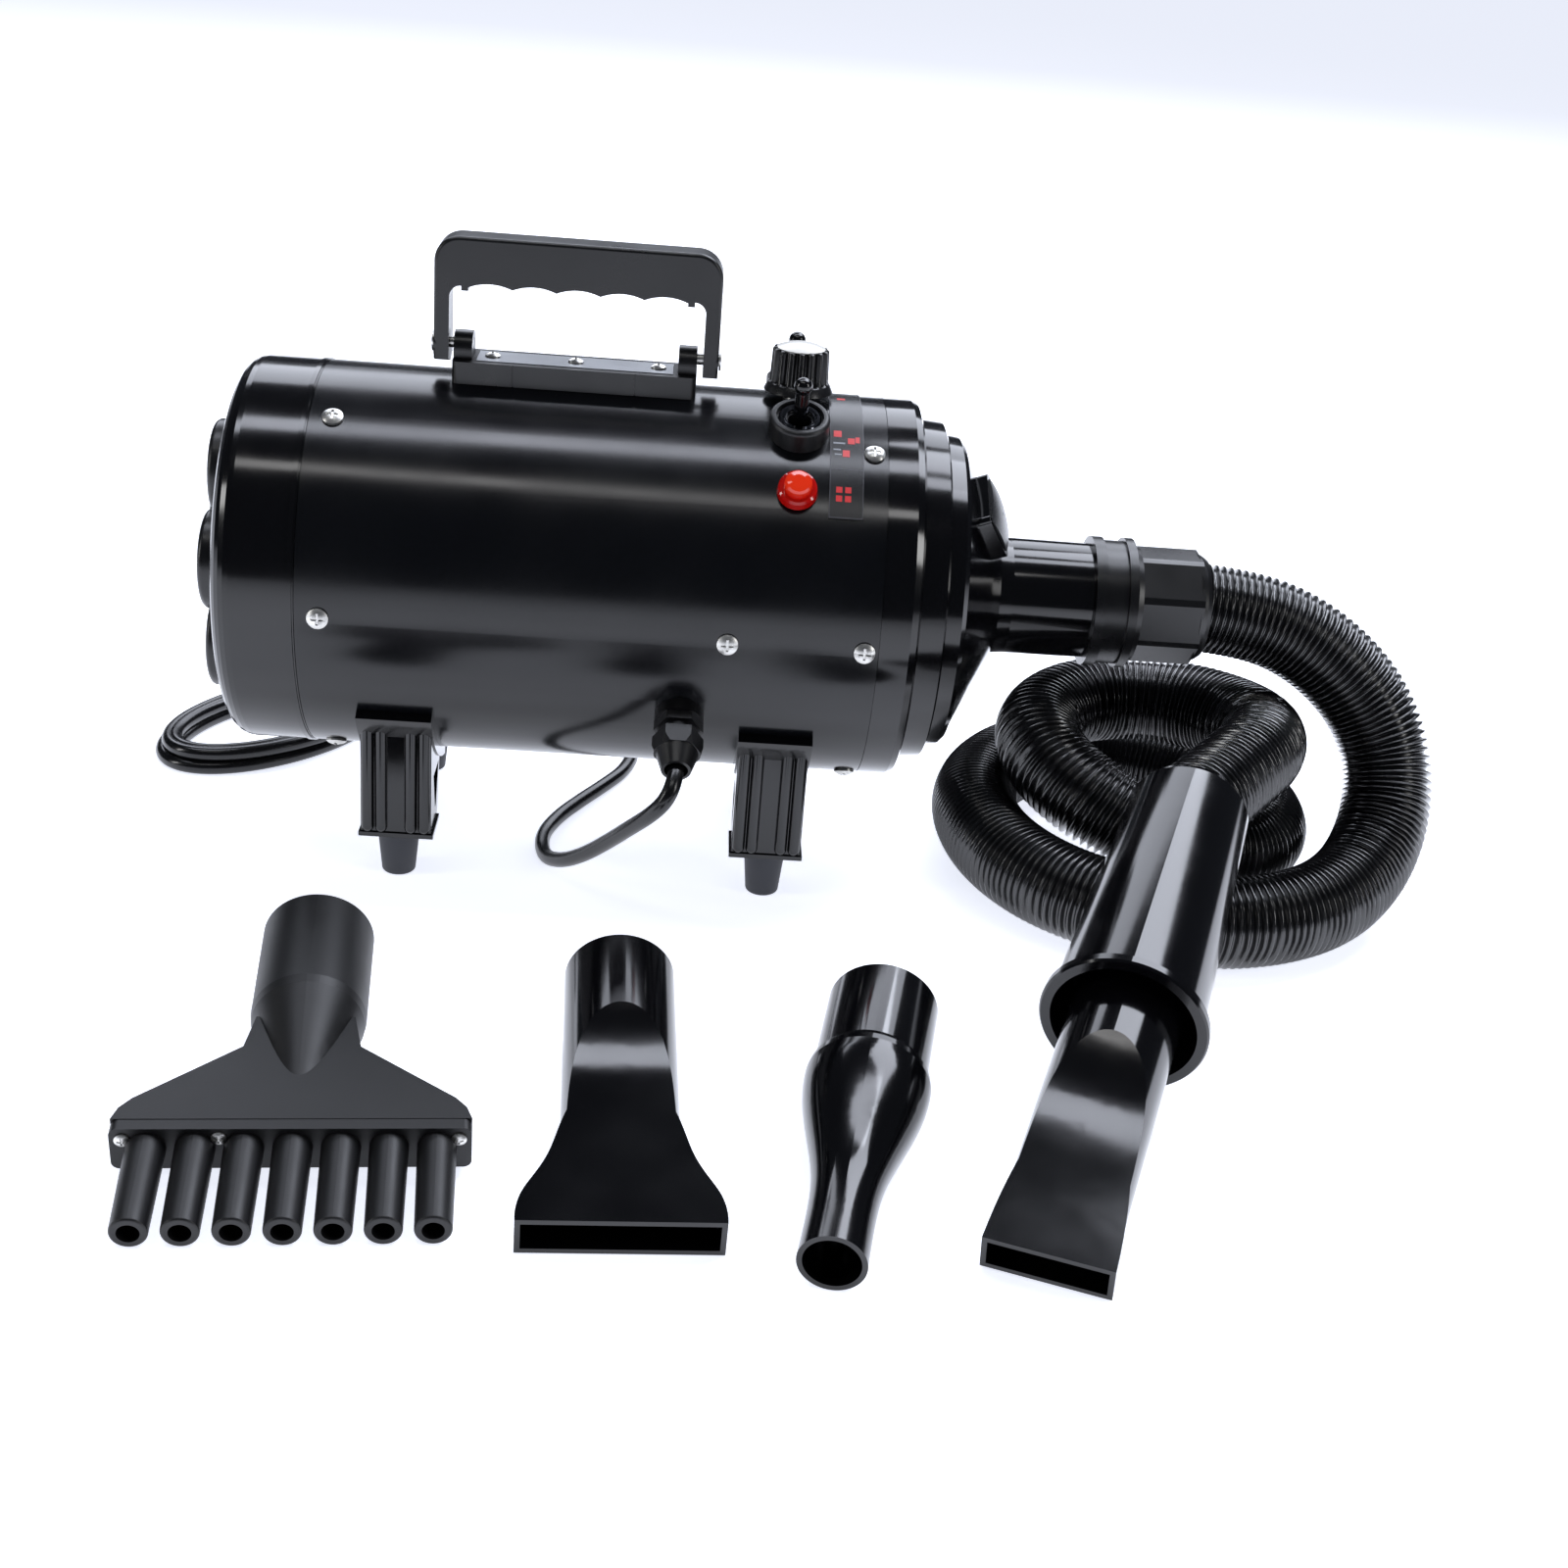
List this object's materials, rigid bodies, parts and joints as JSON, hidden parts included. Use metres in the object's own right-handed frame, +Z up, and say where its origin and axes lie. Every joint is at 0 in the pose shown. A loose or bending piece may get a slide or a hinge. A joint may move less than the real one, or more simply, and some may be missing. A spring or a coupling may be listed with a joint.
{
  "type": "pet dryer",
  "caption": "Barrel-bodied pet dryer with a carrying handle, rubber-tipped feet, corded switches, a ribbed air hose with a hand cuff, and slip-on slot, round and comb nozzles.",
  "frame": {"origin": "on the floor, under the middle of everything but the cord, the hose and the plug", "axes": "+X along the body towards the air outlet, +Z up, -Y towards the hand cuff's mouth and the loose nozzles"},
  "size_m": [0.6141, 0.5655, 0.2756],
  "materials": {
    "shell_paint": "satin-gloss baked black paint on a rolled steel tube",
    "cap_gloss": "glossy black injection moulding",
    "satin_black": "satin black injection moulding",
    "rubber_black": "matte black rubber",
    "rubber_grey": "dull grey rubber tips",
    "hose_vinyl": "glossy black ribbed vinyl",
    "cord_vinyl": "glossy black flexible vinyl cord",
    "chromed": "bright plated steel",
    "steel": "plain machined steel",
    "knob_white": "glossy white plastic cap",
    "lamp_red": "clear red plastic lens",
    "label_dark": "satin dark film label",
    "board_green": "green circuit board laminate",
    "copper_wound": "varnished copper windings on steel laminations",
    "heater_mica": "pale mica sheet",
    "heater_wire": "dull resistance wire",
    "aluminium_cast": "plain aluminium",
    "foam_grey": "open-cell grey foam",
    "brass_pins": "bright brass plug pins"
  },
  "bodies": {
    "dryer": {"air_hose": "hose_vinyl", "badge": "satin_black", "body_shell": "shell_paint", "brush_holders": "brass_pins", "case_screws": "chromed", "control_board": "board_green", "control_label": "label_dark", "cord_hank": "cord_vinyl", "fan_housing": "aluminium_cast", "foot_front_left": "cap_gloss", "foot_front_right": "cap_gloss", "foot_rear_left": "cap_gloss", "foot_rear_right": "cap_gloss", "foot_screws": "chromed", "foot_tips": "rubber_grey", "front_cap": "cap_gloss", "gland_body": "satin_black", "gland_nut": "satin_black", "hand_cuff": "cap_gloss", "handle_base": "satin_black", "handle_pins": "chromed", "handle_strip": "steel", "heater_coil": "heater_wire", "heater_frame": "heater_mica", "hose_cuff": "satin_black", "lamp_housing": "satin_black", "lamp_lens": "lamp_red", "motor_bearings": "steel", "motor_frame": "steel", "motor_plate": "steel", "motor_rings": "rubber_black", "outlet_cone": "cap_gloss", "plug_pins": "brass_pins", "pot_body": "steel", "power_cord": "cord_vinyl", "power_plug": "rubber_black", "rear_cap": "cap_gloss", "strip_screws": "chromed", "thermal_cutout": "steel", "toggle_body_front": "satin_black", "toggle_body_rear": "satin_black", "toggle_collar_front": "rubber_black", "toggle_collar_rear": "rubber_black"},
    "inlet_cover": {"inlet_cover": "cap_gloss", "foam_filter": "foam_grey"},
    "rotor": {"rotor_shaft": "steel", "armature": "copper_wound", "impellers": "aluminium_cast"},
    "speed_dial": {"speed_knob": "satin_black", "knob_cap": "knob_white", "pot_shaft": "steel"},
    "front_switch": {"toggle_lever_front": "satin_black"},
    "rear_switch": {"toggle_lever_rear": "satin_black"},
    "handle": {"handle_bail": "satin_black"},
    "fitted_nozzle": {"narrow_nozzle": "cap_gloss"},
    "loose_wide_nozzle": {"wide_nozzle": "cap_gloss"},
    "loose_round_nozzle": {"round_nozzle": "cap_gloss"},
    "loose_comb_nozzle": {"comb_body": "satin_black", "comb_plate": "satin_black", "comb_screws": "chromed"}
  },
  "joints": [
    {"name": "rotor_spin", "type": "hinge", "parent": "dryer", "child": "rotor", "pos_m": [-0.0594, 0.1294, 0.13], "axis": [1, 0, 0], "continuous": true},
    {"name": "speed_turn", "type": "hinge", "parent": "dryer", "child": "speed_dial", "pos_m": [0.0241, 0.1294, 0.23], "axis": [0, 0, 1], "range_deg": [-135, 135]},
    {"name": "front_switch_flip", "type": "hinge", "parent": "dryer", "child": "front_switch", "pos_m": [0.0241, 0.09802, 0.20576], "axis": [1, 0, 0], "range_deg": [-12, 12]},
    {"name": "rear_switch_flip", "type": "hinge", "parent": "dryer", "child": "rear_switch", "pos_m": [0.0241, 0.16078, 0.20576], "axis": [1, 0, 0], "range_deg": [-12, 12]},
    {"name": "handle_fold", "type": "hinge", "parent": "dryer", "child": "handle", "pos_m": [-0.0729, 0.1294, 0.229], "axis": [1, 0, 0], "range_deg": [-100, 100]},
    {"name": "inlet_cover_pull", "type": "slide", "parent": "dryer", "child": "inlet_cover", "axis": [-1, 0, 0], "range_m": [0, 0.04]},
    {"name": "fitted_nozzle_pull", "type": "slide", "parent": "dryer", "child": "fitted_nozzle", "axis": [-0.3329, -0.9118, -0.2403], "range_m": [0, 0.05]},
    {"name": "wide_nozzle_lift", "type": "slide", "parent": "dryer", "child": "loose_wide_nozzle", "axis": [0, 0, 1], "range_m": [0, 0.1]},
    {"name": "round_nozzle_lift", "type": "slide", "parent": "dryer", "child": "loose_round_nozzle", "axis": [0, 0, 1], "range_m": [0, 0.1]},
    {"name": "comb_nozzle_lift", "type": "slide", "parent": "dryer", "child": "loose_comb_nozzle", "axis": [0, 0, 1], "range_m": [0, 0.1]}
  ]
}
